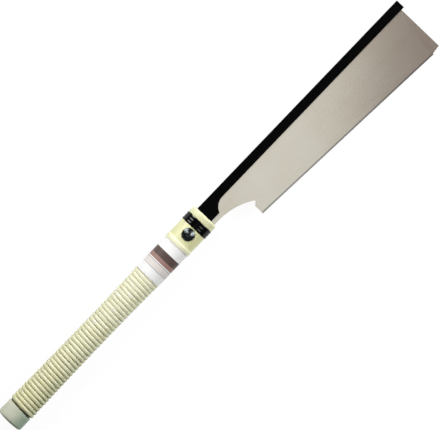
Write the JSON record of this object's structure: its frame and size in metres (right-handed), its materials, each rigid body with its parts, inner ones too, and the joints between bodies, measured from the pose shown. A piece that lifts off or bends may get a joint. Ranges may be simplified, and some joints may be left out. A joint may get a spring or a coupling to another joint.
{
  "type": "dozuki saw",
  "caption": "Japanese back saw: thin fine-toothed blade in a folded black spine, screw-clamped in a cream head on an oval cane-wound handle.",
  "frame": {"origin": "middle of the underside of the whole saw's box, with the saw lying on its side", "axes": "+X along the handle from the butt to the toe, +Y from the teeth to the spine, +Z square to the blade, towards the screw's head"},
  "size_m": [0.5892, 0.0712, 0.0285],
  "materials": {
    "blade_steel": "fine ground, lightly polished",
    "spine_lacquer": "black lacquer",
    "head_plastic": "cream moulding, half gloss",
    "ferrule_black": "glossy black",
    "screw_steel": "blackened",
    "washer_steel": "plated",
    "nut_steel": "plated",
    "liner_steel": "rolled sheet",
    "label_paper": "coated white",
    "pin_steel": "drawn",
    "core_wood": "plain",
    "cane": "peeled half-round cane",
    "cap_plastic": "satin"
  },
  "bodies": {
    "handle": {"handle_core": "core_wood", "cane_winding_rear": "cane", "cane_winding_front": "cane", "handle_head": "head_plastic", "tang_liner": "liner_steel", "ferrule": "ferrule_black", "label_band": "label_paper", "head_pin": "pin_steel", "butt_cap": "cap_plastic", "clamp_nut": "nut_steel"},
    "blade_unit": {"blade": "blade_steel", "spine": "spine_lacquer"},
    "washer": {"screw_washer": "washer_steel"},
    "screw": {"clamp_screw": "screw_steel"}
  },
  "joints": [
    {"name": "blade_release", "type": "slide", "parent": "handle", "child": "blade_unit", "axis": [1, 0, 0], "range_m": [0, 0.035]},
    {"name": "screw_lift", "type": "slide", "parent": "handle", "child": "washer", "axis": [0, 0, 1], "range_m": [0, 0.003]},
    {"name": "screw_turn", "type": "hinge", "parent": "washer", "child": "screw", "pos_m": [-0.02825, 0.01852, 0.01365], "axis": [0, 0, 1], "range_deg": [0, 1080]}
  ],
  "couplings": [
    {"joint": "screw_turn", "follows": "screw_lift", "rad_per_m": 6283.2}
  ]
}
